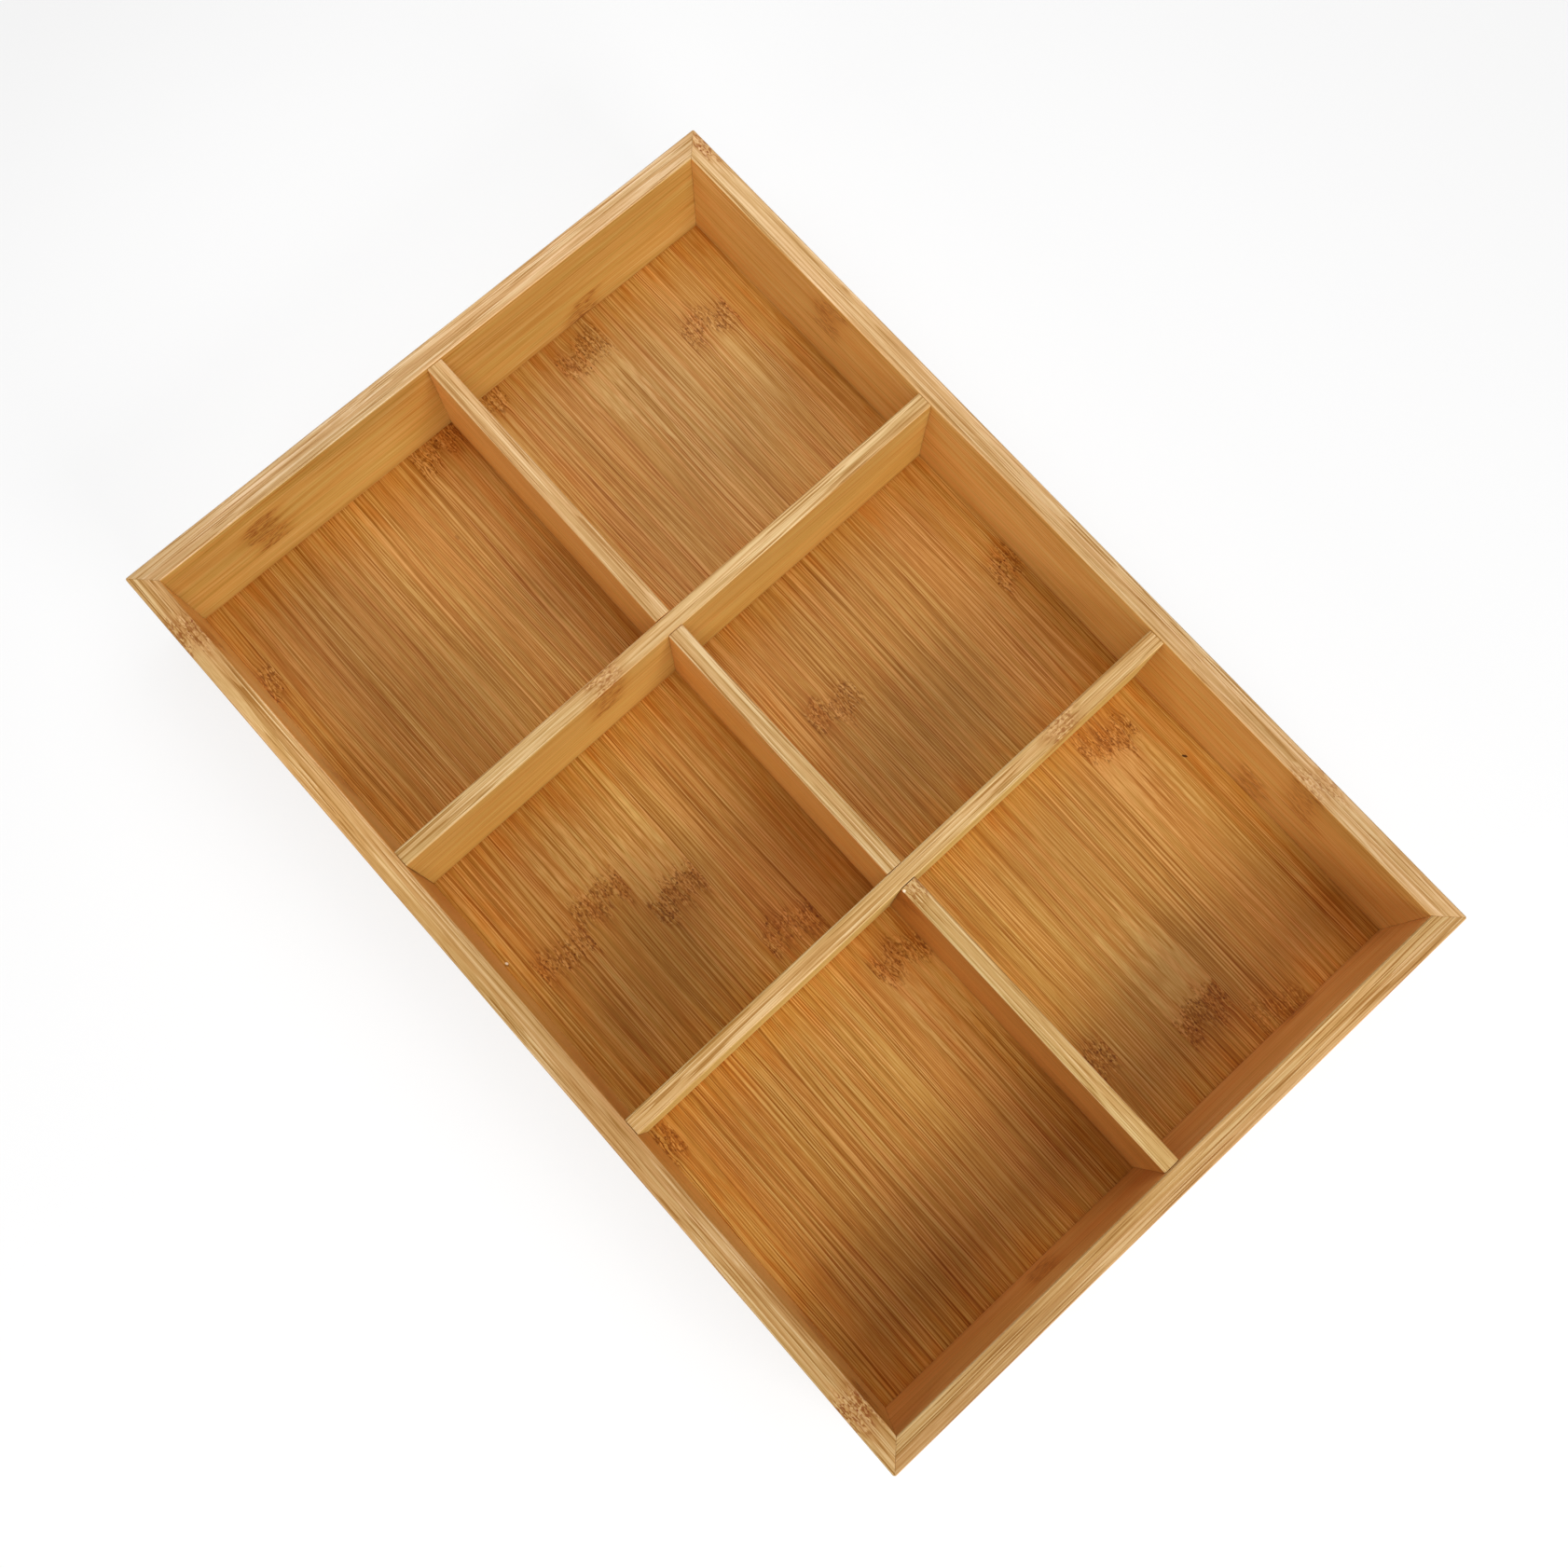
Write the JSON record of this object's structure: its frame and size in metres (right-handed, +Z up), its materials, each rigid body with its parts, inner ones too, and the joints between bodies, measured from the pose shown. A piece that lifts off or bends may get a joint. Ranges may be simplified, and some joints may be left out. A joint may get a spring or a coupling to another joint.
{
  "type": "storage tray",
  "caption": "Shallow rectangular bamboo tray with mitred walls, a panelled floor and thin dividers that split it into open compartments for small things.",
  "frame": {"origin": "centre of the underside, in the plane of the walls' lower edges, which the tray stands on", "axes": "+X along the long side, +Y across the tray towards the back wall, +Z up out of the compartments"},
  "size_m": [0.36, 0.24, 0.05],
  "materials": {
    "wall_bamboo": "laminated bamboo, clear semi-gloss lacquer",
    "floor_bamboo": "edge-glued bamboo strips with knuckle marks, clear semi-gloss lacquer",
    "divider_bamboo": "laminated bamboo, clear semi-gloss lacquer",
    "pin_bamboo": "plain bamboo, no lacquer"
  },
  "bodies": {
    "root": {"wall_front": "wall_bamboo", "wall_back": "wall_bamboo", "wall_left": "wall_bamboo", "wall_right": "wall_bamboo", "floor_panel": "floor_bamboo", "cross_divider_left": "divider_bamboo", "cross_divider_right": "divider_bamboo", "long_divider_left": "divider_bamboo", "long_divider_middle": "divider_bamboo", "long_divider_right": "divider_bamboo", "corner_key_front_left": "pin_bamboo", "corner_key_front_right": "pin_bamboo", "corner_key_back_left": "pin_bamboo", "corner_key_back_right": "pin_bamboo", "cross_pin_left_front_low": "pin_bamboo", "cross_pin_left_front_high": "pin_bamboo", "cross_pin_left_back_low": "pin_bamboo", "cross_pin_left_back_high": "pin_bamboo", "cross_pin_right_front_low": "pin_bamboo", "cross_pin_right_front_high": "pin_bamboo", "cross_pin_right_back_low": "pin_bamboo", "cross_pin_right_back_high": "pin_bamboo", "end_pin_left_low": "pin_bamboo", "end_pin_left_high": "pin_bamboo", "end_pin_right_low": "pin_bamboo", "end_pin_right_high": "pin_bamboo", "crossing_pin_left_low": "pin_bamboo", "crossing_pin_left_high": "pin_bamboo", "crossing_pin_right_low": "pin_bamboo", "crossing_pin_right_high": "pin_bamboo"}
  },
  "joints": []
}
